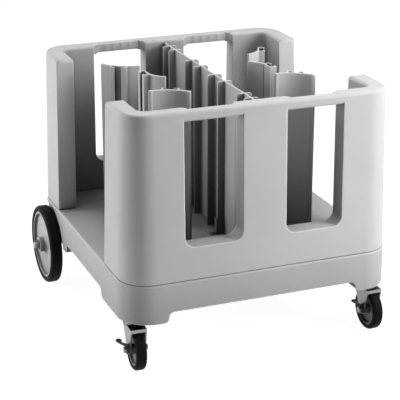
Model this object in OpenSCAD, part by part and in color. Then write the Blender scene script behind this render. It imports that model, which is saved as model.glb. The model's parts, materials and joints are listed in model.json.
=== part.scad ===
// Plate dispenser cart: a tray base on two swivel casters and two large rear wheels, a C-shaped wall
// at each end, a finned centre divider and six lift-out towers that hold stacks of round plates.
// X runs along the front, Y from the caster end to the wheel end, Z up from the floor. Millimetres.

/* [Base tray] */
// Width of the base tray
base_w = 840; // [820:1:860]
// Depth of the base tray
base_d = 892; // [870:1:910]
// Corner radius of the base tray
base_r = 94; // [86:1:100]
// Rounding of the upper edge of the base tray
base_edge_r = 6; // [4:0.5:8]
// Thickness of the base above a wheel well
well_roof = 8; // [6:0.5:10]
// Thickness of the deck
deck_t = 12; // [10:0.5:14]
// Depth of the skirt below the deck face
skirt_h = 87; // [82:1:92]
// Thickness of the skirt
skirt_t = 10; // [8:0.5:12]
// Height of the pod undersides above the rear axle
pod_drop = 27; // [26:0.5:31]
// Width of each pod along the front
pod_w = 110; // [106:1:116]
// Length of the front pods along the side
front_pod_l = 224; // [215:1:235]
// Length of the rear pods along the side
rear_pod_l = 280; // [270:1:290]
// Thickness of the ribs under the deck
under_rib_t = 8; // [6:0.5:10]
// Depth of the ribs under the deck
under_rib_h = 20; // [15:1:30]
// Number of bays between the ribs on each side of the middle
under_bays = 5; // [4:1:6]
// Distance from the ends of the base to the cross ribs
under_rib_in = 211; // [206:1:216]
// Gap between a rear wheel and its well
well_gap = 10; // [8:0.5:12]

/* [Walls] */
// Height from the floor to the wall rim
wall_top = 763; // [740:1:790]
// Step from the edge of the base to the foot of the wall
wall_inset = 3; // [2:0.5:5]
// Thickness of the wall at the rim
wall_t = 54; // [50:0.5:58]
// Inward lean of the outer wall face from foot to rim
wall_draft = 12; // [8:0.5:14]
// Inward lean of the inner wall face from foot to rim
wall_draft_in = 8; // [4:0.5:10]
// Corner radius at the foot of the wall
wall_r = 88; // [82:1:92]
// Rounding of the rim
rim_r = 10; // [6:0.5:12]
// Length of the wings at the foot
wing_l = 207; // [195:1:220]
// How much shorter the wings are at the rim
wing_rake = 9; // [4:0.5:12]
// Rounding of the upper corner of each wing end
wing_r = 16; // [10:1:20]
// Width of the post between the two windows
post_w = 132; // [124:1:140]
// Width of each window
window_w = 177; // [168:1:186]
// Height of the window sill above the deck
sill_h = 98; // [78:1:118]
// Corner radius of the window sill
window_r = 30; // [20:1:36]
// Height of the handle bar section
bar_h = 30; // [28:0.5:34]
// Depth of the handle bar section
bar_d = 34; // [30:0.5:38]
// Length of the slope from the rim to the inner side of each handle bar
bar_slope = 20; // [15:1:25]
// Number of finger grips along the inner side of each handle bar
grip_n = 5; // [4:1:6]
// Depth of the finger grips
grip_d = 2.5; // [1.5:0.25:3]
// Length of the wall bolts in the wall
wall_bolt_l = 40; // [30:1:50]

/* [Centre divider] */
// Height from the floor to the top of the divider
divider_top = 752; // [735:1:755]
// Thickness of the divider panel
divider_t = 5; // [4:0.5:7]
// Depth of each fin
fin_d = 20.5; // [17:0.5:22]
// Thickness of each fin
fin_t = 6; // [4:0.25:7]
// Distance from the middle to the first fin
fin_y1 = 56; // [50:1:62]
// Distance from the middle to the second fin
fin_y2 = 134; // [128:1:140]
// Distance from the wall rims to the third fin
fin_in3 = 99; // [93:1:105]
// Distance from the wall rims to the fourth fin
fin_in4 = 47; // [43:1:53]
// Rounding of the upper corners of the fins
fin_r = 8; // [4:0.5:10]
// Gap between the divider and each wall
divider_end_gap = 0.6; // [0.4:0.1:1.5]
// Thickness of the upright guides on the walls
guide_t = 8; // [6:0.5:10]
// Depth of the upright guides on the walls
guide_d = 14; // [10:0.5:18]
// Gap between the divider and each guide
guide_gap = 0.4; // [0.3:0.05:0.6]
// Distance from the wall rim down to the top of the guides
guide_drop = 23; // [18:1:30]
// Height of the deck brackets
bracket_h = 50; // [40:1:60]
// Width of the deck brackets
bracket_w = 14; // [12:0.5:18]
// Thickness of the deck brackets
bracket_t = 4; // [3:0.25:5]
// Length of the foot of each deck bracket
bracket_foot = 22; // [20:0.5:26]
// Gap between a fin and its deck bracket
bracket_gap = 0.3; // [0.3:0.05:0.5]

/* [Plate towers] */
// Height from the floor to the tower tops
tower_top = 750; // [730:1:755]
// Width of a full tower across its curve
tower_w = 112; // [104:1:120]
// Inner radius of the tower curve
tower_r = 125; // [115:1:140]
// Thickness of the tower curve
tower_t = 8; // [6:0.5:10]
// Radius of the bead at each edge of the curve
bead_r = 6; // [5:0.25:7]
// Width of the channel at the back of a full tower
channel_w = 52; // [48:0.5:56]
// Depth of the channel behind the curve
channel_d = 19; // [17:0.5:22]
// Wall of the tower channels
channel_t = 4; // [3:0.25:4.5]
// Width of the slot in the channels
slot_w = 21; // [18:0.5:24]
// Length of the box channel of a half tower
box_l = 50; // [46:0.5:54]
// Depth of the box channel of a half tower
box_d = 22; // [20:0.5:24]
// Radius of the middle of the half tower wing
wing_curve_r = 110; // [100:1:120]
// Width of the half tower wing across its curve
half_wing_w = 57; // [50:1:62]
// Lean of the half tower wing
wing_lean = 54; // [46:1:60]
// Height of the pegged foot inside the channel
foot_h = 40; // [30:1:50]
// Radius of the foot pegs
peg_r = 4.5; // [4:0.1:4.8]
// Reach of the foot pegs into the deck
peg_l = 11; // [8:0.5:11.5]
// Distance from the foot centre to each peg
peg_x = 13; // [11:0.5:14]
// Gap between a peg and its deck hole
peg_gap = 0.08; // [0.05:0.01:0.1]
// Gap between a foot and its channel
foot_gap = 0.1; // [0.05:0.01:0.2]
// Sideways place of the spare peg holes
spare_x = 319; // [312:1:326]
// Front to back place of the first spare peg hole
spare_y = 66; // [60:1:72]

/* [Tower places] */
// Rear left tower, sideways
rear_left_x = -223; // [-228:1:-218]
// Rear left tower, front to back
rear_left_y = 166; // [160:1:170]
// Rear left tower, turn
rear_left_turn = -33; // [-38:1:-28]
// Front left tower, sideways
front_left_x = -189; // [-194:1:-184]
// Front left tower, front to back
front_left_y = -177; // [-182:1:-172]
// Front left tower, turn
front_left_turn = 156; // [150:1:162]
// Front right tower, sideways
front_right_x = 227; // [222:1:232]
// Front right tower, front to back
front_right_y = -138; // [-143:1:-133]
// Front right tower, turn
front_right_turn = 150; // [145:1:155]
// Middle left half tower, sideways
mid_left_x = -188; // [-193:1:-183]
// Middle left half tower, front to back
mid_left_y = 45; // [40:1:50]
// Middle left half tower, turn
mid_left_turn = 0; // [-5:1:5]
// Middle right half tower, sideways
mid_right_x = 203; // [198:1:208]
// Middle right half tower, front to back
mid_right_y = -8; // [-12:1:-4]
// Middle right half tower, turn
mid_right_turn = 182; // [177:1:187]
// Rear right half tower, sideways
rear_right_x = 260; // [255:1:265]
// Rear right half tower, front to back
rear_right_y = 186; // [182:1:190]
// Rear right half tower, turn
rear_right_turn = -23; // [-28:1:-18]

/* [Rear wheels] */
// Radius of the rear wheels
wheel_r = 127; // [120:0.5:132]
// Width of the rear wheels
wheel_w = 38; // [36:1:42]
// Height of the tyre section round the wheel centre
tyre_h = 18; // [16:0.5:22]
// Shoulder radius of the rear tyres
wheel_shoulder_r = 10; // [8:0.5:12]
// How far the rear wheels sit inside the side of the base
wheel_inset = 2; // [0:1:6]
// Distance from the rear end of the base to the rear axle
axle_in = 119; // [114:1:128]
// Radius of the rear axle
axle_r = 8; // [7:0.25:8.5]
// Running clearance of the rear axle
axle_gap = 0.05; // [0.03:0.01:0.1]
// Radius of the hub
hub_r = 24; // [22:0.5:26]
// How far the hub stands out beyond the tyre
hub_out = 8.5; // [7:0.5:10]
// How far the hub reaches inside the tyre
hub_in = 10; // [8:0.5:12]
// Thickness of the wheel disc
disc_t = 10; // [8:0.5:11]
// Depth of the wheel disc behind the outer tyre face
disc_set = 12; // [10:0.5:13]
// Thickness of the wheel rim
rim_wall = 7; // [5:0.5:9]
// Depth of the recess in the outer end of the hub
hub_recess = 6; // [4:0.25:7]
// Radius of the recess in the outer end of the hub
hub_recess_r = 18; // [17.5:0.25:20]
// Thickness of the wheel bushings
bush_t = 3; // [2:0.25:3.5]
// Thickness of the outer washer
washer_t = 2.5; // [2:0.1:3]
// Length of the axle end caps
cap_l = 20.3; // [18:0.1:21]
// Radius of the axle end caps
cap_r = 11; // [10.5:0.25:12]
// Thickness of the axle bracket plate
axle_plate_t = 4; // [3:0.25:5]
// Length of the axle brackets
axle_plate_l = 80; // [74:1:90]
// Width of the axle brackets
axle_plate_w = 44; // [40:1:46]
// Distance from the ends of the axle brackets to their bolts
axle_bolt_in = 12; // [11:0.5:14]

/* [Front casters] */
// Distance from the side of the base to each swivel axis
caster_in_x = 46; // [45:0.5:50]
// Distance from the front end of the base to the swivel axes
caster_in_y = 88.8; // [88.6:0.1:96]
// Trail of the caster wheels
caster_trail = 33; // [30:0.5:35]
// Gap between a caster tyre and the crown of its fork
caster_gap = 3; // [2:0.25:4]
// Width of the caster tyres
caster_w = 32; // [28:0.5:34]
// Height of the caster tyre section round its wheel centre
caster_tyre_h = 13.5; // [12:0.5:16]
// Shoulder radius of the caster tyres
caster_shoulder_r = 9; // [6:0.5:11]
// Turn of the left caster
left_turn = -3; // [-8:1:2]
// Turn of the right caster
right_turn = 1; // [-4:1:6]
// Thickness of the mounting plate
plate_t = 4; // [3.5:0.25:4.5]
// Width of the mounting plate
plate_x = 67; // [64:0.5:68]
// Length of the mounting plate
plate_y = 92; // [88:0.5:98]
// Bolt spacing across the mounting plate
bolt_x = 44.5; // [44:0.25:45.5]
// Bolt spacing along the mounting plate
bolt_y = 71.4; // [68:0.2:73]
// Radius of the plate bolts
bolt_r = 4; // [3.5:0.1:4.2]
// Length of the plate bolts in the pod
bolt_l = 35; // [25:1:45]
// Width across the flats of the bolt heads
bolt_af = 13; // [12:0.5:13.5]
// Height of the bolt heads
bolt_head = 5.3; // [4.5:0.1:6]
// Radius of the swivel races
race_r = 29; // [27:0.5:31]
// Thickness of the upper race
race_t = 8; // [7:0.25:8.5]
// Gap between the two swivel races
race_gap = 3.5; // [3:0.1:4]
// Diameter of the swivel balls
ball_d = 6; // [5:0.1:6.5]
// Running clearance of the swivel balls
ball_gap = 0.05; // [0.03:0.01:0.1]
// Number of swivel balls
ball_n = 16; // [12:1:18]
// Radius of the ball circle
ball_circle_r = 21; // [20:0.25:22]
// Thickness of the lower race
low_race_t = 4.5; // [4:0.25:5]
// Radius of the kingpin
king_r = 6; // [5:0.25:7]
// Radius of the kingpin heads
king_head_r = 10; // [9:0.25:11]
// Thickness of the fork sheet
fork_t = 4; // [3.5:0.25:4]
// Inside half width of the fork
fork_in = 20; // [19:0.25:21]
// Reach of the front flange of the fork ahead of the wheel axle
flange_reach = 29; // [27:0.5:31]
// Reach of the fork behind the swivel axis
fork_back = 16; // [12:0.5:16]
// Height of the front flange of the fork
flange_h = 10; // [8:0.5:11]
// Radius of the fork ends round the axle
fork_end_r = 15; // [13:0.5:16]
// Radius of the caster axle bolts
pin_r = 5; // [4.5:0.1:5.5]
// Running clearance of the caster bearings
pin_gap = 0.08; // [0.05:0.01:0.1]
// Width across the flats of the axle bolt head and nut
pin_af = 17; // [16:0.5:18]
// Radius of the brake lever hub
lever_hub_r = 13; // [12:0.5:14]
// Thickness of the brake lever
lever_t = 6.8; // [6:0.1:7.5]
// Width of the brake lever arm
arm_w = 10; // [8:0.5:12]
// Height of the pedal above the caster axle
pedal_h = 32; // [28:0.5:35]
// Reach of the pedal from the fork
pedal_reach = 37; // [34:1:42]
// Width of the pedal pad
pedal_w = 18; // [14:0.5:19.5]
// Length of the pedal pad
pedal_l = 20; // [20:0.5:24]
// Thickness of the pedal pad
pedal_t = 5; // [4:0.25:6]

/* [Hidden] */
$fn = 64;

// Overshoot of a cut past the face that it opens
cut = 1;
// Gap between pieces that are pressed together
press_gap = 0.02;
// Gap that lets a clamped stack turn
side_gap = 0.2;
// Gap under a tower that stands on the deck
seat_gap = 0.02;
// Gap between a wheel hub and the back of its well
hub_gap = 2;
// Thickness and ring width of the spacers inside the rear wheels
spacer_t = 3.5;
spacer_ring = 6;
// Ring width of the washers outside the rear wheels
washer_ring = 8.5;
// Thickness of the ends of the axle caps
cap_end_t = 4;

// Heights that follow from the rear wheels
deck_z = 2 * wheel_r + well_gap + well_roof;
skirt_z = deck_z - skirt_h;
pod_z = wheel_r + pod_drop;
// Spacing of the ribs that run front to back and place of the ones that run side to side
rib_x = (base_w / 2 - skirt_t + under_rib_t / 2) / under_bays;
under_rib_y = base_d / 2 - under_rib_in;
// Half sizes of the wall foot and centres of its corners
foot_hw = base_w / 2 - wall_inset;
foot_hd = base_d / 2 - wall_inset;
corner_x = foot_hw - wall_r;
corner_y = foot_hd - wall_r;
wall_rim_y = corner_y + wall_r - wall_draft;
wall_t_foot = wall_t + wall_draft - wall_draft_in;
wall_bolt_y = foot_hd - wall_t_foot / 2;
// The wall bolts stand in the middle of the first and third bays
wall_bolt_x1 = rib_x / 2;
wall_bolt_x2 = 2.5 * rib_x;
window_z = deck_z + sill_h;
wing_end_y = foot_hd - wing_l;
// Inner wall face at the foot and at the rim
inner_foot_y = foot_hd - wall_t_foot;
inner_rim_y = wall_rim_y - wall_t;
// Pods and underside
pod_x = base_w / 2 - pod_w;
front_pod_y = base_d / 2 - front_pod_l;
rear_pod_y = base_d / 2 - rear_pod_l;
s_r = (skirt_z - pod_z) / 2;
pod_block_x = pod_x - under_rib_t;
// Rear wheel stations, measured outward from the middle
axle_y = base_d / 2 - axle_in;
wheel_rim_r = wheel_r - tyre_h;
wheel_in = base_w / 2 - wheel_inset;
wheel_out = wheel_in + wheel_w;
hub_end_in = wheel_in - hub_in;
hub_end_out = wheel_out + hub_out;
well_r = wheel_r + well_gap;
well_x = hub_end_in - hub_gap;
hub_seat_x = hub_end_out - hub_recess;
washer_x = hub_seat_x + side_gap;
cap_x = washer_x + washer_t;
axle_end = cap_x + cap_l - cap_end_t;
ear_x = hub_end_in - side_gap - spacer_t;
axle_plate_x = ear_x - axle_plate_w;
ear_r = 2 * axle_r;
// Caster places and heights
caster_x = base_w / 2 - caster_in_x;
caster_y = base_d / 2 - caster_in_y;
plate_z = pod_z - plate_t;
race_z = plate_z - race_t;
ball_z = race_z - race_gap / 2;
crown_z = race_z - race_gap - low_race_t - fork_t;
caster_r = (crown_z - caster_gap) / 2;
caster_rim_r = caster_r - caster_tyre_h;
fork_out = fork_in + fork_t;
fork_front = caster_trail + flange_reach;
lever_x = fork_out + side_gap;
head_x = lever_x + lever_t + side_gap;
pin_head = 6.4;
pin_nut = 8;
pin_tip = 2;

// Outline of a rectangle with round corners
module round_rect(w, d, r) {
  square([w - 2 * r, d], center = true);
  square([w, d - 2 * r], center = true);
  for (sx = [-1, 1], sy = [-1, 1]) translate([sx * (w / 2 - r), sy * (d / 2 - r)]) circle(r);
}

// Carries a profile, drawn outward in X and up in Y, along a straight stretch of the given length
module run(length) {
  rotate([90, 0, 0]) linear_extrude(length, center = true) children();
}

// Turns a solid of revolution from the Z axis to the X axis
module along_x() {
  rotate([0, 90, 0]) children();
}

// Hexagon of the given width across the flats
module hexagon(af) {
  circle(af / sqrt(3), $fn = 6);
}

// The part of the underside that is cut away between two pods, seen square to the cut
module s_half(edge) {
  mid = edge - s_r;
  difference() {
    translate([0, pod_z - cut]) square([mid, skirt_z - pod_z + cut]);
    difference() {
      translate([edge - 2 * s_r, skirt_z - s_r]) square([s_r + cut, s_r + cut]);
      translate([edge - 2 * s_r, skirt_z - s_r]) circle(s_r);
    }
  }
  difference() {
    translate([mid - cut / 10, pod_z - cut]) square([s_r + cut / 10, s_r + cut]);
    translate([edge, pod_z + s_r]) circle(s_r);
  }
}

module bolt(r, length, head_af, head_h) {
  linear_extrude(head_h) hexagon(head_af);
  translate([0, 0, head_h]) cylinder(r = r, h = length);
}

// Places on the deck of the six towers
module at_place(x, y, turn) {
  translate([x, y, seat_gap]) rotate([0, 0, turn]) children();
}

module at_rear_left() at_place(rear_left_x, rear_left_y, rear_left_turn) children();
module at_front_left() at_place(front_left_x, front_left_y, front_left_turn) children();
module at_front_right() at_place(front_right_x, front_right_y, front_right_turn) children();
module at_mid_left() at_place(mid_left_x, mid_left_y, mid_left_turn) children();
module at_mid_right() at_place(mid_right_x, mid_right_y, mid_right_turn) children();
module at_rear_right() at_place(rear_right_x, rear_right_y, rear_right_turn) mirror([1, 0, 0]) children();

// Full tower section: a curve that cradles the plates, beads at its edges and a slotted channel
curve_y = sqrt(tower_r * tower_r - tower_w * tower_w / 4);
curve_back = curve_y - tower_r - tower_t;
channel_y = curve_back - channel_d + tower_t / 2;
channel_in_y = channel_y + channel_t;
foot_y = channel_in_y + peg_r + foot_gap;

module tower_section() {
  intersection() {
    difference() {
      translate([0, curve_y]) circle(tower_r + tower_t, $fn = 128);
      translate([0, curve_y]) circle(tower_r, $fn = 128);
    }
    polygon([[0, curve_y], [-tower_w, -curve_y], [tower_w, -curve_y]]);
  }
  for (s = [-1, 1]) translate([s * tower_w / 2, -bead_r / 2]) circle(bead_r);
  difference() {
    translate([-channel_w / 2, channel_y])
      square([channel_w, curve_back + tower_t / 2 - channel_y]);
    translate([-channel_w / 2 + channel_t, channel_in_y])
      square([channel_w - 2 * channel_t, channel_d + tower_t]);
    translate([-slot_w / 2, channel_y - cut]) square([slot_w, channel_t + 2 * cut]);
  }
}

module full_tower() {
  translate([0, 0, deck_z]) linear_extrude(tower_top - deck_z) tower_section();
}

module full_foot() {
  translate([-channel_w / 2 + channel_t + foot_gap, channel_in_y + foot_gap, deck_z])
    cube([channel_w - 2 * channel_t - 2 * foot_gap, 2 * peg_r, foot_h]);
  for (s = [-1, 1]) translate([s * peg_x, foot_y, deck_z - peg_l]) cylinder(r = peg_r, h = peg_l + cut);
}

module full_holes() {
  for (s = [-1, 1]) translate([s * peg_x, foot_y, deck_z - deck_t - cut])
    cylinder(r = peg_r + peg_gap, h = deck_t + 2 * cut);
}

// Half tower section: a slotted box with one curved wing
box_out = box_d / 2;
box_end = box_l / 2;
wing_sag = sqrt(wing_curve_r * wing_curve_r - half_wing_w * half_wing_w / 4);

module half_section() {
  difference() {
    square([box_d, box_l], center = true);
    square([box_d - 2 * channel_t, box_l - 2 * channel_t], center = true);
    translate([-box_out - cut, -slot_w / 2]) square([channel_t + 2 * cut, slot_w]);
  }
  translate([box_out - channel_t / 2, tower_t / 2 - box_end]) rotate([0, 0, -wing_lean]) {
    intersection() {
      translate([half_wing_w / 2, wing_sag]) difference() {
        circle(wing_curve_r + tower_t / 2, $fn = 128);
        circle(wing_curve_r - tower_t / 2, $fn = 128);
      }
      translate([0, -half_wing_w]) square([half_wing_w, half_wing_w + tower_t]);
    }
  }
}

module half_tower() {
  translate([0, 0, deck_z]) linear_extrude(tower_top - deck_z) half_section();
}

module half_foot() {
  half_x = box_d / 2 - channel_t - foot_gap;
  half_y = box_l / 2 - channel_t - foot_gap;
  translate([-half_x, -half_y, deck_z]) cube([2 * half_x, 2 * half_y, foot_h]);
  for (s = [-1, 1]) translate([0, s * peg_x, deck_z - peg_l]) cylinder(r = peg_r, h = peg_l + cut);
}

module half_holes() {
  for (s = [-1, 1]) translate([0, s * peg_x, deck_z - deck_t - cut])
    cylinder(r = peg_r + peg_gap, h = deck_t + 2 * cut);
}

// Base tray
module base_tray() color("lightgray") {
  difference() {
    union() {
      translate([0, 0, pod_z]) linear_extrude(deck_z - pod_z - base_edge_r)
        round_rect(base_w, base_d, base_r);
      translate([0, 0, deck_z - base_edge_r]) linear_extrude(base_edge_r)
        round_rect(base_w - 2 * base_edge_r, base_d - 2 * base_edge_r, base_r - base_edge_r);
      base_edge();
    }
    underside_cut();
    tray_cavity();
    wheel_wells();
    deck_holes();
    pod_holes();
  }
}

// Rounded upper edge, swept round the tray
module base_edge() {
  edge_x = base_w / 2 - base_r;
  edge_y = base_d / 2 - base_r;
  for (a = [0, 180]) rotate([0, 0, a]) {
    translate([edge_x, 0, 0]) run(2 * edge_y) base_edge_section();
    translate([edge_x, edge_y, 0]) rotate_extrude(angle = 90) base_edge_section();
    translate([0, edge_y, 0]) rotate([0, 0, 90]) run(2 * edge_x) base_edge_section();
    translate([-edge_x, edge_y, 0]) rotate([0, 0, 90]) rotate_extrude(angle = 90) base_edge_section();
  }
}

module base_edge_section() {
  translate([base_r - base_edge_r, deck_z - base_edge_r]) circle(base_edge_r);
}

module underside_cut() {
  for (s = [0, 1]) mirror([s, 0, 0]) run(base_d + 2 * cut) s_half(pod_x);
  rotate([0, 0, 90]) run(base_w + 2 * cut) s_half(rear_pod_y);
  rotate([0, 0, -90]) run(base_w + 2 * cut) s_half(front_pod_y);
}

// Hollow under the deck, between the pods, with its stiffening ribs left standing
module tray_cavity() {
  cavity_top = deck_z - deck_t;
  difference() {
    translate([0, 0, pod_z - cut]) linear_extrude(cavity_top - pod_z + cut)
      round_rect(base_w - 2 * skirt_t, base_d - 2 * skirt_t, base_r - skirt_t);
    for (s = [-1, 1]) {
      translate([s * (pod_block_x + base_w / 2) - base_w / 2, s_r - front_pod_y - base_d, 0])
        cube([base_w, base_d, deck_z]);
      translate([s * (pod_block_x + base_w / 2) - base_w / 2, rear_pod_y - s_r, 0])
        cube([base_w, base_d, deck_z]);
      translate([0, s * under_rib_y, cavity_top - under_rib_h / 2])
        cube([base_w, under_rib_t, under_rib_h + cut], center = true);
    }
    for (i = [1 - under_bays : under_bays - 1])
      translate([i * rib_x, 0, cavity_top - under_rib_h / 2])
        cube([under_rib_t, base_d, under_rib_h + cut], center = true);
  }
}

module wheel_wells() {
  for (s = [0, 1]) mirror([s, 0, 0]) translate([well_x, axle_y, wheel_r]) along_x()
    cylinder(r = well_r, h = wheel_w + well_gap, $fn = 128);
}

module deck_holes() {
  at_rear_left() full_holes();
  at_front_left() full_holes();
  at_front_right() full_holes();
  at_mid_left() half_holes();
  at_mid_right() half_holes();
  at_rear_right() half_holes();
  for (sx = [-1, 1], sy = [-1, 1]) translate([sx * spare_x, sy * (spare_y - peg_x), 0]) half_holes();
  for (sx = [-1, 1], sy = [-1, 1]) {
    translate([sx * bracket_screw_x, sy * fin_y2, deck_z - deck_t - cut])
      cylinder(r = screw_r + press_gap, h = deck_t + 2 * cut);
    for (x = [wall_bolt_x1, wall_bolt_x2]) translate([sx * x, sy * wall_bolt_y, deck_z - deck_t - cut])
      cylinder(r = bolt_r + press_gap, h = deck_t + 2 * cut);
  }
}

module pod_holes() {
  for (sx = [-1, 1], sy = [-1, 1]) {
    for (side = [-1, 1])
      translate([side * caster_x + sx * bolt_x / 2, sy * bolt_y / 2 - caster_y, pod_z - cut])
        cylinder(r = bolt_r + press_gap, h = bolt_l + 2 * cut);
    translate([sx * axle_bolt_x, axle_y + sy * axle_bolt_y, pod_z - cut])
      cylinder(r = bolt_r + press_gap, h = bolt_l + 2 * cut);
  }
}

// Wall section, drawn outward from the corner centre
module wall_section() {
  polygon([
    [wall_r, deck_z],
    [wall_r - wall_draft, wall_top - rim_r],
    [wall_r - wall_draft - rim_r, wall_top],
    [wall_r - wall_draft - wall_t + rim_r, wall_top],
    [wall_r - wall_draft - wall_t, wall_top - rim_r],
    [wall_r - wall_t_foot, deck_z]
  ]);
  translate([wall_r - wall_draft - rim_r, wall_top - rim_r]) circle(rim_r);
  translate([wall_r - wall_draft - wall_t + rim_r, wall_top - rim_r]) circle(rim_r);
}

// One wall, at the front: a run, two swept corners and two wings, cut to length and pierced
module wall() {
  wing = corner_y - wing_end_y + wing_rake;
  difference() {
    intersection() {
      union() {
        translate([0, -corner_y, 0]) rotate([0, 0, -90]) run(2 * corner_x) wall_section();
        for (s = [0, 1]) mirror([s, 0, 0]) {
          translate([corner_x, -corner_y, 0]) rotate([0, 0, -90]) rotate_extrude(angle = 90) wall_section();
          translate([corner_x, wing / 2 - corner_y, 0]) run(wing) wall_section();
        }
      }
      rotate([0, 0, -90]) run(base_w) wall_side();
    }
    for (s = [0, 1]) mirror([s, 0, 0]) translate([0, -foot_hd + wall_t, 0]) run(3 * wall_t) window();
    for (sx = [-1, 1], x = [wall_bolt_x1, wall_bolt_x2]) translate([sx * x, -wall_bolt_y, deck_z - cut])
      cylinder(r = bolt_r + press_gap, h = wall_bolt_l + 2 * cut);
  }
  for (s = [0, 1]) mirror([s, 0, 0]) {
    handle_bar();
    translate([divider_t / 2 + guide_gap, -inner_foot_y - cut, deck_z])
      cube([guide_t, inner_foot_y - guide_y + cut, wall_top - guide_drop - deck_z]);
  }
}

// Handle bar over a window: flush with the outer face, with finger grips along its inner side,
// and sloped back to the full rim at both ends
module handle_bar() {
  bar_x = (post_w + window_w) / 2;
  bar_in = bar_d - wall_rim_y;
  pitch = (window_w - 2 * bar_slope) / grip_n;
  grip_half = 0.43 * pitch;
  grip_r = (grip_half * grip_half + grip_d * grip_d) / (2 * grip_d);
  slope_end = (wall_t - bar_d) * (1 + cut / bar_slope);
  difference() {
    translate([bar_x, bar_d / 2 - wall_rim_y, wall_top - bar_h / 2]) rotate([0, 0, 90])
      run(window_w + 2 * cut) round_rect(bar_d, bar_h, rim_r);
    for (i = [1 : grip_n])
      translate([bar_x + (i - (grip_n + 1) / 2) * pitch, bar_in + grip_r - grip_d, 0])
        cylinder(r = grip_r, h = wall_top + cut, $fn = 128);
  }
  intersection() {
    translate([bar_x, -corner_y, 0]) rotate([0, 0, -90]) run(window_w + 2 * cut) wall_section();
    for (e = [-1, 1]) translate([bar_x + e * window_w / 2, bar_in, wall_top - bar_h])
      linear_extrude(bar_h) polygon([
        [e * cut, -rim_r],
        [-e * bar_slope, -rim_r],
        [-e * bar_slope, 0],
        [e * cut, slope_end]
      ]);
  }
}

// Side outline of a wall, Y forward: the raked wing end with its rounded corner
module wall_side() {
  end_top = wing_end_y + wing_rake;
  polygon([
    [wing_end_y, deck_z - cut],
    [end_top, wall_top - wing_r],
    [end_top + wing_r, wall_top],
    [base_d, wall_top + cut],
    [base_d, deck_z - cut]
  ]);
  translate([end_top + wing_r, wall_top - wing_r]) circle(wing_r);
  translate([end_top + wing_r, deck_z]) square([base_d - end_top - wing_r, wall_top - deck_z]);
}

// Window outline, open at the top where the handle bar crosses it
module window() {
  x0 = post_w / 2;
  translate([x0, window_z + window_r]) square([window_w, wall_top - window_z]);
  translate([x0 + window_r, window_z]) square([window_w - 2 * window_r, 2 * window_r]);
  for (x = [x0 + window_r, x0 + window_w - window_r]) translate([x, window_z + window_r]) circle(window_r);
}

guide_y = inner_rim_y - guide_d;

module front_wall() color("gainsboro") wall();
module rear_wall() color("gainsboro") mirror([0, 1, 0]) wall();

module wall_bolts() {
  for (sx = [-1, 1], x = [wall_bolt_x1, wall_bolt_x2])
    translate([sx * x, -wall_bolt_y, deck_z - deck_t - bolt_head])
      bolt(bolt_r, deck_t + wall_bolt_l, bolt_af, bolt_head);
}

module front_wall_bolts() color("silver") wall_bolts();
module rear_wall_bolts() color("silver") mirror([0, 1, 0]) wall_bolts();

fin_y3 = inner_rim_y - fin_in3;
fin_y4 = inner_rim_y - fin_in4;

// Centre divider: a panel between the guides of the two walls, with fins in pairs on both faces
module centre_divider() color("whitesmoke") {
  panel_d = 2 * (inner_rim_y - divider_end_gap);
  translate([-divider_t / 2, -panel_d / 2, deck_z]) cube([divider_t, panel_d, divider_top - deck_z]);
  for (s = [-1, 1], y = [fin_y1, fin_y2, fin_y3, fin_y4])
    translate([0, s * y, 0]) run(fin_t) fin_pair();
}

// Outline of a pair of fins with round upper corners
module fin_pair() {
  half = divider_t / 2 + fin_d;
  translate([-half, deck_z]) square([2 * half, divider_top - fin_r - deck_z]);
  translate([fin_r - half, deck_z]) square([2 * (half - fin_r), divider_top - deck_z]);
  for (s = [-1, 1]) translate([s * (half - fin_r), divider_top - fin_r]) circle(fin_r);
}

bracket_x = divider_t / 2 + fin_d + bracket_gap;
bracket_screw_x = bracket_x + bracket_t + (bracket_foot - bracket_t) / 2;
screw_r = 2.5;
screw_head_r = 4.5;
screw_head_h = 3;

module deck_bracket(sx, sy) color("silver") {
  mirror([sx < 0 ? 1 : 0, 0, 0]) mirror([0, sy < 0 ? 1 : 0, 0]) {
    translate([bracket_x, fin_y2 - bracket_w / 2, deck_z]) cube([bracket_t, bracket_w, bracket_h]);
    difference() {
      translate([bracket_x, fin_y2 - bracket_w / 2, deck_z]) cube([bracket_foot, bracket_w, bracket_t]);
      translate([bracket_screw_x, fin_y2, deck_z - cut])
        cylinder(r = screw_r + press_gap, h = bracket_t + 2 * cut);
    }
  }
}

module divider_bracket_front_left() deck_bracket(-1, -1);
module divider_bracket_front_right() deck_bracket(1, -1);
module divider_bracket_rear_left() deck_bracket(-1, 1);
module divider_bracket_rear_right() deck_bracket(1, 1);

module divider_bracket_screws() color("dimgray") {
  for (sx = [-1, 1], sy = [-1, 1]) translate([sx * bracket_screw_x, sy * fin_y2, deck_z]) {
    translate([0, 0, bracket_t]) cylinder(r = screw_head_r, h = screw_head_h);
    translate([0, 0, -deck_t + cut]) cylinder(r = screw_r, h = deck_t + bracket_t);
  }
}

module tower_rear_left() color("lightgray") at_rear_left() full_tower();
module tower_front_left() color("lightgray") at_front_left() full_tower();
module tower_front_right() color("lightgray") at_front_right() full_tower();
module half_tower_middle_left() color("lightgray") at_mid_left() half_tower();
module half_tower_middle_right() color("lightgray") at_mid_right() half_tower();
module half_tower_rear_right() color("lightgray") at_rear_right() half_tower();
module foot_rear_left() color("gray") at_rear_left() full_foot();
module foot_front_left() color("gray") at_front_left() full_foot();
module foot_front_right() color("gray") at_front_right() full_foot();
module foot_middle_left() color("gray") at_mid_left() half_foot();
module foot_middle_right() color("gray") at_mid_right() half_foot();
module foot_rear_right() color("gray") at_rear_right() half_foot();

// Rear axle with its brackets
module rear_axle() color("silver") {
  translate([-axle_end, axle_y, wheel_r]) along_x() cylinder(r = axle_r, h = 2 * axle_end);
}

axle_bolt_x = axle_plate_x + axle_plate_w / 2;
axle_bolt_y = axle_plate_l / 2 - axle_bolt_in;

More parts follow.
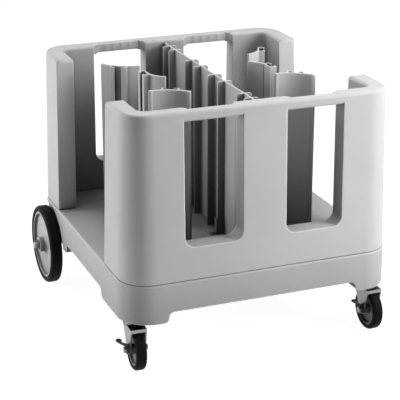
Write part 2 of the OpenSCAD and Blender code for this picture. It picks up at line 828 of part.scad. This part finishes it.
module axle_bracket() {
  difference() {
    union() {
      translate([axle_plate_x, axle_y - axle_plate_l / 2, pod_z - axle_plate_t])
        cube([axle_plate_w, axle_plate_l, axle_plate_t]);
      for (x = [axle_plate_x, axle_plate_x + axle_plate_w - axle_plate_t]) {
        translate([x, axle_y, wheel_r]) along_x() cylinder(r = ear_r, h = axle_plate_t);
        translate([x, axle_y - ear_r, wheel_r]) cube([axle_plate_t, 2 * ear_r, pod_z - wheel_r]);
      }
    }
    translate([axle_plate_x - cut, axle_y, wheel_r]) along_x()
      cylinder(r = axle_r + press_gap, h = axle_plate_w + 2 * cut);
    for (s = [-1, 1]) translate([axle_bolt_x, axle_y + s * axle_bolt_y, pod_z - axle_plate_t - cut])
      cylinder(r = bolt_r + press_gap, h = axle_plate_t + 2 * cut);
  }
}

module axle_bracket_left() color("dimgray") mirror([1, 0, 0]) axle_bracket();
module axle_bracket_right() color("dimgray") axle_bracket();

module axle_bracket_bolts() color("silver") {
  for (sx = [-1, 1], sy = [-1, 1])
    translate([sx * axle_bolt_x, axle_y + sy * axle_bolt_y, pod_z - axle_plate_t - bolt_head])
      bolt(bolt_r, axle_plate_t + bolt_l, bolt_af, bolt_head);
}

// Rear wheel pieces, on the right side
module at_axle(x) {
  translate([x, axle_y, wheel_r]) along_x() children();
}

// Tyre section: flat at the wheel centre, with two round shoulders
module tyre_section(r_in, r_out, w, shoulder) {
  intersection() {
    union() {
      translate([r_in, 0]) square([r_out - r_in - shoulder, w]);
      translate([r_in, shoulder]) square([r_out - r_in, w - 2 * shoulder]);
      for (z = [shoulder, w - shoulder]) translate([r_out - shoulder, z]) circle(shoulder);
    }
    translate([r_in, -cut]) square([r_out - r_in + cut, w + 2 * cut]);
  }
}

module rear_tyre() {
  at_axle(wheel_in) rotate_extrude($fn = 128)
    tyre_section(wheel_rim_r, wheel_r, wheel_w, wheel_shoulder_r);
}

rim_lip = 3;
hub_bore = axle_r + axle_gap + bush_t + press_gap;

// Wheel centre: hub with a recess for the washer, disc, rim, and a fillet from the hub to the disc
module rear_wheel() {
  disc_in = wheel_w - disc_set - disc_t;
  fillet = hub_r / 3;
  at_axle(wheel_in) rotate_extrude($fn = 128) {
    translate([hub_bore, -hub_in]) square([hub_r - hub_bore, hub_in + wheel_w + hub_out - hub_recess]);
    translate([hub_recess_r, -hub_in]) square([hub_r - hub_recess_r, hub_in + wheel_w + hub_out]);
    translate([hub_r - 1, disc_in]) square([wheel_rim_r - hub_r - rim_wall + 2, disc_t]);
    translate([wheel_rim_r - rim_wall, rim_lip]) square([rim_wall - press_gap, wheel_w - 2 * rim_lip]);
    difference() {
      translate([hub_r - 1, disc_in - fillet]) square([fillet + 1, disc_t + 2 * fillet]);
      for (z = [disc_in - fillet, disc_in + disc_t + fillet]) translate([hub_r + fillet, z]) circle(fillet);
    }
  }
}

module rear_bushing() {
  at_axle(hub_end_in) difference() {
    cylinder(r = hub_bore - press_gap, h = hub_seat_x - hub_end_in);
    translate([0, 0, -cut]) cylinder(r = axle_r + axle_gap, h = hub_seat_x - hub_end_in + 2 * cut);
  }
}

module ring(r_in, r_out, h) {
  difference() {
    cylinder(r = r_out, h = h);
    translate([0, 0, -cut]) cylinder(r = r_in, h = h + 2 * cut);
  }
}

module rear_spacer() at_axle(ear_x) ring(axle_r + press_gap, axle_r + spacer_ring, spacer_t);
module rear_washer() at_axle(washer_x) ring(axle_r + axle_gap, axle_r + washer_ring, washer_t);

// Push-on cap with a round edge
module rear_cap() {
  edge = cap_r / 3;
  at_axle(cap_x) difference() {
    rotate_extrude() {
      square([cap_r, cap_l - edge]);
      square([cap_r - edge, cap_l]);
      translate([cap_r - edge, cap_l - edge]) intersection() {
        circle(edge);
        square([edge, edge]);
      }
    }
    translate([0, 0, -cut]) cylinder(r = axle_r + press_gap, h = cap_l - cap_end_t + cut);
  }
}

module rear_tyre_left() color("black") mirror([1, 0, 0]) rear_tyre();
module rear_tyre_right() color("black") rear_tyre();
module rear_wheel_left() color("lightgray") mirror([1, 0, 0]) rear_wheel();
module rear_wheel_right() color("lightgray") rear_wheel();
module rear_bushing_left() color("goldenrod") mirror([1, 0, 0]) rear_bushing();
module rear_bushing_right() color("goldenrod") rear_bushing();
module rear_spacer_left() color("silver") mirror([1, 0, 0]) rear_spacer();
module rear_spacer_right() color("silver") rear_spacer();
module rear_washer_left() color("silver") mirror([1, 0, 0]) rear_washer();
module rear_washer_right() color("silver") rear_washer();
module rear_cap_left() color("silver") mirror([1, 0, 0]) rear_cap();
module rear_cap_right() color("silver") rear_cap();

// Front casters: the swivel axis is the local Z axis and the wheel trails forward
module at_left_caster() translate([-caster_x, -caster_y, 0]) rotate([0, 0, left_turn]) children();
module at_right_caster() translate([caster_x, -caster_y, 0]) rotate([0, 0, right_turn]) children();
module at_pin(x) translate([x, -caster_trail, caster_r]) along_x() children();

module caster_plate() {
  difference() {
    union() {
      translate([0, 0, plate_z]) linear_extrude(plate_t) round_rect(plate_x, plate_y, 2 * bolt_r);
      translate([0, 0, race_z]) cylinder(r = race_r, h = race_t + plate_t / 2);
    }
    translate([0, 0, race_z - cut]) cylinder(r = king_r + press_gap, h = race_t + plate_t + 2 * cut);
    translate([0, 0, plate_z]) cylinder(r = king_head_r + press_gap, h = plate_t + cut);
    for (sx = [-1, 1], sy = [-1, 1]) translate([sx * bolt_x / 2, sy * bolt_y / 2, plate_z - cut])
      cylinder(r = bolt_r + press_gap, h = plate_t + 2 * cut);
    ball_groove();
  }
}

module ball_groove() {
  rotate_extrude() translate([ball_circle_r, ball_z]) circle(ball_d / 2 + ball_gap);
}

module caster_balls() {
  for (i = [0 : ball_n - 1]) rotate([0, 0, i * 360 / ball_n]) translate([ball_circle_r, 0, ball_z])
    sphere(r = ball_d / 2, $fn = 32);
}

module caster_kingpin() {
  pin_z = crown_z - side_gap / 2 - plate_t;
  translate([0, 0, plate_z]) cylinder(r = king_head_r, h = plate_t);
  translate([0, 0, pin_z]) cylinder(r = king_r, h = plate_z - pin_z + cut);
  translate([0, 0, pin_z]) cylinder(r = king_head_r, h = plate_t);
}

module caster_fork() {
  difference() {
    union() {
      translate([0, 0, crown_z]) linear_extrude(fork_t) {
        translate([-fork_out, -fork_front]) square([2 * fork_out, fork_front]);
        circle(race_r);
      }
      translate([0, 0, crown_z + fork_t]) cylinder(r = race_r, h = low_race_t);
      translate([-fork_out, -fork_front, crown_z + fork_t - flange_h])
        cube([2 * fork_out, fork_t, flange_h]);
      for (x = [-fork_out, fork_in])
        translate([x, 0, 0]) rotate([90, 0, 90]) linear_extrude(fork_t) fork_leg();
    }
    translate([0, 0, crown_z - cut]) cylinder(r = king_r + pin_gap, h = fork_t + low_race_t + 2 * cut);
    at_pin(-fork_out - cut) cylinder(r = pin_r + press_gap, h = 2 * fork_out + 2 * cut);
    ball_groove();
  }
}

// Side outline of a fork leg, from the crown down to the axle
module fork_leg() {
  top = crown_z + fork_t;
  end = fork_end_r * 0.9;
  polygon([
    [-fork_front, top],
    [fork_back, top],
    [fork_back, top - flange_h],
    [end - caster_trail, caster_r - fork_end_r / 2],
    [-end - caster_trail, caster_r - fork_end_r / 2],
    [-fork_front, top - flange_h]
  ]);
  translate([-caster_trail, caster_r]) circle(fork_end_r);
}

// Axle bolt, its nut and the sleeve that carries the wheel
sleeve_r = pin_r + bush_t;

module caster_axle() {
  at_pin(-head_x - pin_head) {
    linear_extrude(pin_head) hexagon(pin_af);
    cylinder(r = pin_r, h = head_x + pin_head + fork_out + pin_nut + pin_tip);
  }
  at_pin(fork_out) linear_extrude(pin_nut) hexagon(pin_af);
  at_pin(press_gap - fork_in) cylinder(r = sleeve_r, h = 2 * fork_in - 2 * press_gap);
}

caster_hub_t = 7;
caster_rim_t = 6;
caster_disc_t = 8;

module caster_wheel() {
  half = fork_in - side_gap;
  rim_half = caster_w / 2 - rim_lip;
  at_pin(0) rotate_extrude($fn = 96) {
    translate([sleeve_r + pin_gap, -half]) square([caster_hub_t, 2 * half]);
    translate([sleeve_r + caster_hub_t - cut, -caster_disc_t / 2])
      square([caster_rim_r - sleeve_r - caster_hub_t, caster_disc_t]);
    translate([caster_rim_r - caster_rim_t, -rim_half])
      square([caster_rim_t - press_gap, 2 * rim_half]);
  }
}

module caster_tyre() {
  at_pin(-caster_w / 2) rotate_extrude($fn = 96)
    tyre_section(caster_rim_r, caster_r, caster_w, caster_shoulder_r);
}

// Brake lever: a hub round the axle bolt, and an arm that leans out and up to the pedal
module brake_lever() {
  arm_x = -lever_x - lever_t;
  rise = pedal_h - pedal_t / 2;
  difference() {
    union() {
      at_pin(arm_x) cylinder(r = lever_hub_r, h = lever_t);
      translate([0, -caster_trail, caster_r]) run(arm_w) polygon([
        [arm_x + lever_t, 0],
        [arm_x + lever_t, rise / 2],
        [pedal_w / 2 - fork_out - pedal_reach, rise],
        [pedal_w / 8 - fork_out - pedal_reach, rise],
        [arm_x, rise / 3],
        [arm_x, 0]
      ]);
    }
    at_pin(arm_x - cut) cylinder(r = pin_r + pin_gap, h = lever_t + 2 * cut);
    at_pin(arm_x - pin_head - cut) cylinder(r = pin_af / sqrt(3) + side_gap, h = pin_head + cut);
  }
}

// Oval pedal pad with round edges
module brake_pedal() {
  edge = pedal_t / 2;
  end_r = pedal_w / 2 - edge;
  end_y = (pedal_l - pedal_w) / 2;
  translate([pedal_w / 2 - fork_out - pedal_reach, -caster_trail, caster_r + pedal_h]) {
    for (s = [-1, 1]) translate([0, s * end_y, 0]) rotate_extrude() {
      translate([0, -edge]) square([end_r, pedal_t]);
      translate([end_r, 0]) circle(edge);
    }
    run(2 * end_y) {
      square([2 * end_r, pedal_t], center = true);
      for (s = [-1, 1]) translate([s * end_r, 0]) circle(edge);
    }
  }
}

module plate_bolts() {
  for (sx = [-1, 1], sy = [-1, 1]) translate([sx * bolt_x / 2, sy * bolt_y / 2, plate_z - bolt_head])
    bolt(bolt_r, plate_t + bolt_l, bolt_af, bolt_head);
}

// The mounting plates stay square to the base while the forks turn
module at_plate(s) translate([s * caster_x, -caster_y, 0]) children();

module caster_plate_left() color("silver") at_plate(-1) caster_plate();
module caster_plate_right() color("silver") at_plate(1) caster_plate();
module caster_balls_left() color("gray") at_left_caster() caster_balls();
module caster_balls_right() color("gray") at_right_caster() caster_balls();
module caster_kingpin_left() color("silver") at_plate(-1) caster_kingpin();
module caster_kingpin_right() color("silver") at_plate(1) caster_kingpin();
module caster_fork_left() color("darkgray") at_left_caster() caster_fork();
module caster_fork_right() color("darkgray") at_right_caster() caster_fork();
module caster_axle_left() color("silver") at_left_caster() caster_axle();
module caster_axle_right() color("silver") at_right_caster() caster_axle();
module caster_wheel_left() color("gray") at_left_caster() caster_wheel();
module caster_wheel_right() color("gray") at_right_caster() caster_wheel();
module caster_tyre_left() color("black") at_left_caster() caster_tyre();
module caster_tyre_right() color("black") at_right_caster() caster_tyre();
module brake_lever_left() color("black") at_left_caster() brake_lever();
module brake_lever_right() color("black") at_right_caster() brake_lever();
module brake_pedal_left() color("black") at_left_caster() brake_pedal();
module brake_pedal_right() color("black") at_right_caster() brake_pedal();

module caster_bolts() color("silver") {
  at_plate(-1) plate_bolts();
  at_plate(1) plate_bolts();
}

base_tray();
front_wall();
rear_wall();
front_wall_bolts();
rear_wall_bolts();
centre_divider();
divider_bracket_front_left();
divider_bracket_front_right();
divider_bracket_rear_left();
divider_bracket_rear_right();
divider_bracket_screws();
tower_rear_left();
tower_front_left();
tower_front_right();
half_tower_middle_left();
half_tower_middle_right();
half_tower_rear_right();
foot_rear_left();
foot_front_left();
foot_front_right();
foot_middle_left();
foot_middle_right();
foot_rear_right();
rear_axle();
axle_bracket_left();
axle_bracket_right();
axle_bracket_bolts();
rear_tyre_left();
rear_wheel_left();
rear_bushing_left();
rear_spacer_left();
rear_washer_left();
rear_cap_left();
rear_tyre_right();
rear_wheel_right();
rear_bushing_right();
rear_spacer_right();
rear_washer_right();
rear_cap_right();
caster_plate_left();
caster_balls_left();
caster_kingpin_left();
caster_fork_left();
caster_axle_left();
caster_wheel_left();
caster_tyre_left();
brake_lever_left();
brake_pedal_left();
caster_plate_right();
caster_balls_right();
caster_kingpin_right();
caster_fork_right();
caster_axle_right();
caster_wheel_right();
caster_tyre_right();
brake_lever_right();
brake_pedal_right();
caster_bolts();
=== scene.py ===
import json
import math

import bmesh
import bpy
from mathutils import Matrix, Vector

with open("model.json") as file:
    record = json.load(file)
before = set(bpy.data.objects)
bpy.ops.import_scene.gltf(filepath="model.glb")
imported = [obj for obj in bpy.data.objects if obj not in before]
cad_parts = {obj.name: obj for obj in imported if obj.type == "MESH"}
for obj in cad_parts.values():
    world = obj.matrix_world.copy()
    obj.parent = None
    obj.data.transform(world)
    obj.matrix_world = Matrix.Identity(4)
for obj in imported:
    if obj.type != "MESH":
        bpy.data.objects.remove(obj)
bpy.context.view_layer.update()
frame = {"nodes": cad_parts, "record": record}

SCENE = bpy.context.scene
WHITE = (1.0, 1.0, 1.0, 1.0)

# Camera: it looks down at the front wall from the left. The origin is on the floor under the
# middle of the cart. Lengths are in metres, the lens and sensor in millimetres, angles in degrees.
CAMERA_AT = (-1.5059, -3.7360, 1.8086)
CAMERA_YAW = 21.62
CAMERA_PITCH = -20.14
CAMERA_LENS = 122.97
SENSOR = 36.0
CLIP_START = 0.05
CLIP_END = 60


def add_camera():
    camera = bpy.data.cameras.new("camera")
    camera.sensor_width = SENSOR
    camera.lens = CAMERA_LENS
    camera.clip_start = CLIP_START
    camera.clip_end = CLIP_END
    holder = bpy.data.objects.new("camera", camera)
    holder.location = CAMERA_AT
    holder.rotation_euler = (math.radians(90 + CAMERA_PITCH), 0, math.radians(-CAMERA_YAW))
    SCENE.collection.objects.link(holder)
    SCENE.camera = holder


# Materials

# Noises of the surfaces: scale, detail and roughness
CLOUDS = (5.0, 3.0, 0.5)
FLECKS = (900.0, 2.0, 0.5)
HANDLING = (30.0, 4.0, 0.5)
ORANGE_PEEL = (380.0, 2.0, 0.5)
WAVES = (45.0, 1.0, 0.5)
DIE_LINES = (60.0, 4.0, 0.6)
DIE_WEAR = (25.0, 3.0, 0.5)
DUST = (12.0, 5.0, 0.6)
TYRE_WEAR = (60.0, 3.0, 0.5)
RUBBER_GRAIN = (700.0, 2.0, 0.5)
BRUSHING = (160.0, 3.0, 0.6)
PLATING = (24.0, 4.0, 0.6)
TARNISH = (40.0, 3.0, 0.5)
POLISH = (90.0, 3.0, 0.5)
BRASS_GRAIN = (500.0, 2.0, 0.5)
LEVER_TINT = (60.0, 3.0, 0.5)
LEVER_GRAIN = (600.0, 2.0, 0.5)

# Scales along each axis that draw a noise out into lines
DIE_STRETCH = (14.0, 14.0, 0.25)
BRUSH_STRETCH = (1.0, 1.0, 12.0)

# Ranges of values
FULL = (0.0, 1.0)
MIDDLE = (0.3, 0.7)
FLECK_RANGE = (0.62, 0.72)
DUST_RANGE = (0.45, 0.75)
STEEL_RANGE = (0.6, 1.4)
OPEN_RANGE = (0.2, 0.9)
EDGE_TURN = (0.995, 0.93)
EDGE_HIGHLIGHT_RANGE = (0.0, 0.8)

# Shares of a material's shade, for the painted highlight on edges, the painted shade in recesses
# and the flecks
EDGE_HIGHLIGHT = 1.75
PAINTED_SHADE = 0.14
STEEL_PAINTED_SHADE = 0.1
FLECK = 0.35

# Heights of the surface grain, the widths of the rounded edges that carry a painted highlight and
# the reach of the painted shade in recesses, in metres
DIE_DEPTH = 0.00006
RUBBER_DEPTH = 0.00008
STEEL_DEPTH = 0.00004
BRASS_DEPTH = 0.00003
LEVER_DEPTH = 0.00005
PROFILE_EDGE = 0.002
PROFILE_SHADE_REACH = 0.22
STEEL_SHADE_REACH = 0.08

BRASS_DARK = (0.52, 0.38, 0.15, 1.0)
BRASS_LIGHT = (0.68, 0.51, 0.22, 1.0)


def grey(value, warm=0.0):
    return (value * (1 + warm), value, value * (1 - warm), 1.0)


def around(value, below, above):
    return (value - below, value + above)


class Tree:
    """A node tree, with short calls for the nodes that the materials and the world share."""

    def __init__(self, tree):
        self.tree = tree
        self.tree.nodes.clear()

    def link(self, source, target):
        self.tree.links.new(source, target)

    def give(self, socket, value):
        """Gives an input its value: a number, a tuple or the output of another node."""
        if isinstance(value, bpy.types.NodeSocket):
            self.link(value, socket)
        else:
            socket.default_value = value

    def node(self, kind, **settings):
        made = self.tree.nodes.new(kind)
        for key, value in settings.items():
            setattr(made, key, value)
        return made

    def feed(self, made, **values):
        """Gives a node its inputs by name, with _ for a space, and returns the node."""
        for key, value in values.items():
            self.give(made.inputs[key.replace("_", " ")], value)
        return made

    def math(self, operation, first, second):
        made = self.node("ShaderNodeMath", operation=operation)
        for socket, value in zip(made.inputs, (first, second)):
            self.give(socket, value)
        return made.outputs["Value"]

    def remap(self, value, source, target, **settings):
        """A value moved from one range to another."""
        made = self.node("ShaderNodeMapRange", clamp=True, **settings)
        self.feed(made, Value=value, From_Min=source[0], From_Max=source[1])
        return self.feed(made, To_Min=target[0], To_Max=target[1]).outputs["Result"]

    def blend(self, share, first, second):
        """The first shader, with a share of the second."""
        made = self.node("ShaderNodeMixShader")
        for socket, value in zip(made.inputs, (share, first, second)):
            self.link(value, socket)
        return made.outputs[0]

    def seen(self):
        """1 for what the camera sees, also in shiny pieces and through clear ones, and else 0."""
        path = self.node("ShaderNodeLightPath")
        view = path.outputs["Is Camera Ray"]
        for name in ("Is Glossy Ray", "Is Transmission Ray"):
            view = self.math("MAXIMUM", view, path.outputs[name])
        return view


class Shader(Tree):
    """A material with one principled surface."""

    def __init__(self, name, **values):
        self.material = bpy.data.materials.new(name)
        self.material.use_nodes = True
        super().__init__(self.material.node_tree)
        self.output = self.node("ShaderNodeOutputMaterial")
        self.surface = self.feed(self.node("ShaderNodeBsdfPrincipled"), **values)
        self.link(self.surface.outputs["BSDF"], self.output.inputs["Surface"])
        self.place = self.node("ShaderNodeTexCoord").outputs["Object"]

    def stretched(self, scale):
        """Object coordinates stretched by a scale along each axis."""
        made = self.feed(self.node("ShaderNodeMapping"), Scale=scale, Vector=self.place)
        return made.outputs["Vector"]

    def noise(self, kind, place=None):
        scale, detail, roughness = kind
        made = self.node("ShaderNodeTexNoise")
        self.feed(made, Scale=scale, Detail=detail, Roughness=roughness)
        return self.feed(made, Vector=place or self.place).outputs["Fac"]

    def mixed(self, factor, first, second):
        """A colour between two colours, each a tuple or an output."""
        made = self.node("ShaderNodeMix", data_type="RGBA")
        return self.feed(made, Factor=factor, A=first, B=second).outputs["Result"]

    def bump(self, height, distance, below=None):
        made = self.feed(self.node("ShaderNodeBump"), Distance=distance, Height=height)
        if below:
            self.link(below, made.inputs["Normal"])
        return made.outputs["Normal"]

    def rounded(self, radius):
        """Normals that round the edges of the solid."""
        return self.feed(self.node("ShaderNodeBevel", samples=6), Radius=radius).outputs["Normal"]

    def painted_edge_highlight(self, colour, soft, lighter):
        """The colour with a painted highlight: lighter on the edges, where the rounded normals turn
        away from the faces.
        """
        turn = self.node("ShaderNodeVectorMath", operation="DOT_PRODUCT")
        self.link(soft, turn.inputs[0])
        self.link(self.node("ShaderNodeNewGeometry").outputs["Normal"], turn.inputs[1])
        highlight = self.remap(turn.outputs["Value"], EDGE_TURN, EDGE_HIGHLIGHT_RANGE)
        return self.mixed(highlight, colour, grey(lighter))

    def shade_painted_in_recesses(self, colour, distance, darkest):
        """The colour with painted shade: darker where other surfaces stand close around."""
        free = self.node("ShaderNodeAmbientOcclusion", samples=8)
        self.feed(free, Distance=distance)
        return self.mixed(self.remap(free.outputs["AO"], OPEN_RANGE, FULL), grey(darkest), colour)

    def finish(self, colour, roughness, normal):
        self.feed(self.surface, Base_Color=colour, Roughness=roughness, Normal=normal)
        return self.material


def moulded_plastic(name, shade, roughness=0.48, peel=0.00010, speckle=0.10, shade_reach=0.36,
                    edge=0.005):
    """Rotomoulded polyethylene: a soft waxy grey with fine speckle, orange peel and clouding."""
    s = Shader(name, Specular_IOR_Level=0.3, Subsurface_Weight=0.03, Subsurface_Scale=0.004)
    soft = s.rounded(edge)
    clouds = s.remap(s.noise(CLOUDS), MIDDLE, FULL)
    body = s.mixed(clouds, grey(shade * 0.97), grey(shade * 1.03))
    flecks = s.remap(s.noise(FLECKS), FLECK_RANGE, (0.0, speckle))
    # Painted highlight: the edges are lightened in the colour itself.
    colour = s.painted_edge_highlight(s.mixed(flecks, body, grey(shade * FLECK)), soft, shade * EDGE_HIGHLIGHT)
    # Painted shade: the colour darkens where other surfaces stand close, in recesses, corners and
    # under things.
    colour = s.shade_painted_in_recesses(colour, shade_reach, shade * PAINTED_SHADE)
    rough = s.remap(s.noise(HANDLING), MIDDLE, around(roughness, 0.05, 0.07))
    skin = s.bump(s.noise(ORANGE_PEEL), peel, below=soft)
    return s.finish(colour, rough, s.bump(s.noise(WAVES), peel * 2.5, below=skin))


def extruded_plastic(name, shade, roughness=0.52):
    """Extruded profile: fine die lines along its height over a smooth surface."""
    s = Shader(name, Specular_IOR_Level=0.25)
    soft = s.rounded(PROFILE_EDGE)
    lines = s.noise(DIE_LINES, s.stretched(DIE_STRETCH))
    body = s.mixed(s.remap(lines, MIDDLE, FULL), grey(shade * 0.96), grey(shade * 1.03))
    # Painted highlight on the edges, then painted shade in recesses, both in the colour itself.
    colour = s.shade_painted_in_recesses(s.painted_edge_highlight(body, soft, shade * EDGE_HIGHLIGHT), PROFILE_SHADE_REACH, shade * PAINTED_SHADE)
    rough = s.remap(s.noise(DIE_WEAR), MIDDLE, around(roughness, 0.05, 0.08))
    return s.finish(colour, rough, s.bump(lines, DIE_DEPTH, below=soft))


def rubber(name, shade=0.004, roughness=0.6):
    """Solid black rubber, a little dusty, with a fine grain."""
    s = Shader(name, Specular_IOR_Level=0.07)
    dust = s.remap(s.noise(DUST), DUST_RANGE, (0.0, 0.5))
    colour = s.mixed(dust, grey(shade), grey(shade * 2.6, warm=0.03))
    rough = s.remap(s.noise(TYRE_WEAR), MIDDLE, around(roughness, 0.08, 0.12))
    return s.finish(colour, rough, s.bump(s.noise(RUBBER_GRAIN), RUBBER_DEPTH))


def steel(name, shade, roughness=0.34):
    """Zinc-plated steel with a brushed grain and cloudy plating."""
    s = Shader(name, Metallic=1.0)
    grain = s.noise(BRUSHING, s.stretched(BRUSH_STRETCH))
    cloud = s.noise(PLATING)
    plating = s.mixed(s.remap(cloud, MIDDLE, FULL), grey(shade * 0.86), grey(shade * 1.06))
    # Painted shade: the plating darkens where other surfaces stand close.
    colour = s.shade_painted_in_recesses(plating, STEEL_SHADE_REACH, shade * STEEL_PAINTED_SHADE)
    rough = s.remap(s.math("ADD", grain, cloud), STEEL_RANGE, around(roughness, 0.09, 0.12))
    return s.finish(colour, rough, s.bump(grain, STEEL_DEPTH))


def brass(name):
    """Plain turned brass, a little tarnished."""
    s = Shader(name, Metallic=1.0)
    colour = s.mixed(s.noise(TARNISH), BRASS_DARK, BRASS_LIGHT)
    rough = s.remap(s.noise(POLISH), MIDDLE, (0.28, 0.42))
    return s.finish(colour, rough, s.bump(s.noise(BRASS_GRAIN), BRASS_DEPTH))


def lever_plastic(name):
    """Glossy black plastic of the brake levers and pedals."""
    s = Shader(name, Specular_IOR_Level=0.5)
    colour = s.mixed(s.noise(LEVER_TINT), grey(0.012), grey(0.022))
    rough = s.remap(s.noise(POLISH), MIDDLE, (0.26, 0.4))
    return s.finish(colour, rough, s.bump(s.noise(LEVER_GRAIN), LEVER_DEPTH))


MATERIALS = {
    # The base's painted shade reaches farther, over the deck between the walls.
    "base_plastic": moulded_plastic("base_plastic", 0.54, shade_reach=0.6),
    "wall_plastic": moulded_plastic("wall_plastic", 0.53),
    "divider_plastic": extruded_plastic("divider_plastic", 0.53),
    "tower_plastic": extruded_plastic("tower_plastic", 0.56),
    "foot_plastic": extruded_plastic("foot_plastic", 0.16),
    "plated_steel": steel("plated_steel", 0.32),
    "ball_steel": steel("ball_steel", 0.6, roughness=0.15),
    "tyre_rubber": rubber("tyre_rubber"),
    "wheel_plastic": moulded_plastic("wheel_plastic", 0.56, roughness=0.42, peel=0.00006,
                                     speckle=0.04, edge=0.002),
    "bushing_brass": brass("bushing_brass"),
    "lever_plastic": lever_plastic("lever_plastic"),
}


def dress_nodes():
    """Gives every node of the frame the material of its slot."""
    for entry in frame["record"]["subparts"]:
        mesh = frame["nodes"][entry["node"]].data
        mesh.materials.clear()
        mesh.materials.append(MATERIALS[entry["material_slot"]])


# Rounded edges: the width, and the height up to which the sharp edges are rounded, in metres
EDGES = {
    "front_wall": (0.0035, 0.29),
    "rear_wall": (0.0035, 0.29),
    "centre_divider": (0.0009, 1.0),
}
SHARP = math.radians(40)
WELD = 0.00002


def mark_edges(mesh, top):
    """Marks the sharp edges up to a height. Vertices that lie on each other count as one."""
    weight = mesh.attributes.new("bevel_weight_edge", "FLOAT", "EDGE")
    shape = bmesh.new()
    shape.from_mesh(mesh)
    twins = bmesh.ops.find_doubles(shape, verts=shape.verts, dist=WELD)["targetmap"]
    sides = {}
    for edge in shape.edges:
        ends = [twins.get(corner, corner) for corner in edge.verts]
        if all(corner.co.z <= top for corner in ends):
            key = frozenset(corner.index for corner in ends)
            sides.setdefault(key, []).append(edge)
    for edges in sides.values():
        normals = [face.normal for edge in edges for face in edge.link_faces]
        if len(normals) == 2 and normals[0].angle(normals[1], 0) > SHARP:
            for edge in edges:
                weight.data[edge.index].value = 1.0
    shape.free()


def round_edges(node, width, top):
    """Rounds the sharp edges of a node up to a height, and keeps its curved faces smooth."""
    piece = frame["nodes"][node]
    mark_edges(piece.data, top)
    piece.modifiers.new("weld", "WELD").merge_threshold = WELD
    bevel = piece.modifiers.new("bevel", "BEVEL")
    bevel.width = width
    bevel.segments = 3
    bevel.limit_method = "WEIGHT"
    bevel.use_clamp_overlap = False
    piece.modifiers.new("normals", "WEIGHTED_NORMAL").keep_sharp = True


# Stage and light

FLOOR_SIZE = 40.0
FLOOR_Z = -0.0005
FLOOR_GLOW = 1.36
FLOOR_GLOW_SHARE = 0.7

# The studio's brightness in front of the cart and behind it, and where along Y it changes
STUDIO = (0.0, 0.5)
STUDIO_FADE = (-0.25, 0.7)

# Softboxes: where each stands, where it points, its size in metres and its power in watts
SOFTBOXES = {
    "key": ((1.5, -1.55, 1.4), (0.2, -0.3, 0.5), (0.9, 0.9), 45),
    "inner": ((0.3, -0.4, 1.7), (0.25, 0.35, 0.6), (1.0, 0.3), 5),
    "side": ((-2.8, 1.3, 1.2), (-0.3, 0.1, 0.5), (0.8, 1.2), 50),
    "top": ((-0.2, 0.7, 3.0), (0, 0, 0), (1.6, 1.6), 24),
}


def add_floor():
    """A white floor that keeps the cart's shadow."""
    bpy.ops.mesh.primitive_plane_add(size=FLOOR_SIZE, location=(0, 0, FLOOR_Z))
    floor = bpy.context.object
    floor.name = "floor"
    s = Shader("floor", Base_Color=grey(0.9), Roughness=0.9, Specular_IOR_Level=0.1)
    glow = s.feed(s.node("ShaderNodeEmission"), Color=WHITE, Strength=FLOOR_GLOW)
    share = s.math("MULTIPLY", s.seen(), FLOOR_GLOW_SHARE)
    mix = s.blend(share, s.surface.outputs["BSDF"], glow.outputs[0])
    s.link(mix, s.output.inputs["Surface"])
    floor.data.materials.append(s.material)


def add_world():
    """A white cyclorama behind the cart that fades to a dim studio in front of it. The camera,
    shiny pieces and clear pieces see plain white."""
    world = bpy.data.worlds.new("world")
    world.use_nodes = True
    SCENE.world = world
    w = Tree(world.node_tree)
    place = w.node("ShaderNodeTexCoord").outputs["Generated"]
    along = w.feed(w.node("ShaderNodeSeparateXYZ"), Vector=place).outputs["Y"]
    fade = w.remap(along, STUDIO_FADE, STUDIO, interpolation_type="SMOOTHSTEP")
    studio = w.feed(w.node("ShaderNodeBackground"), Color=WHITE, Strength=fade)
    plain = w.feed(w.node("ShaderNodeBackground"), Color=WHITE, Strength=1.0)
    mix = w.blend(w.seen(), studio.outputs[0], plain.outputs[0])
    w.link(mix, w.node("ShaderNodeOutputWorld").inputs["Surface"])


def add_softbox(name, at, target, size, power):
    light = bpy.data.lights.new(name, "AREA")
    light.shape = "RECTANGLE"
    light.size, light.size_y = size
    light.energy = power
    holder = bpy.data.objects.new(name, light)
    holder.location = at
    aim = Vector(target) - Vector(at)
    holder.rotation_euler = aim.to_track_quat("-Z", "Y").to_euler()
    SCENE.collection.objects.link(holder)


add_camera()
dress_nodes()
for node, (width, top) in EDGES.items():
    round_edges(node, width, top)
add_floor()
for name, softbox in SOFTBOXES.items():
    add_softbox(name, *softbox)
add_world()
SCENE.view_settings.view_transform = "Standard"
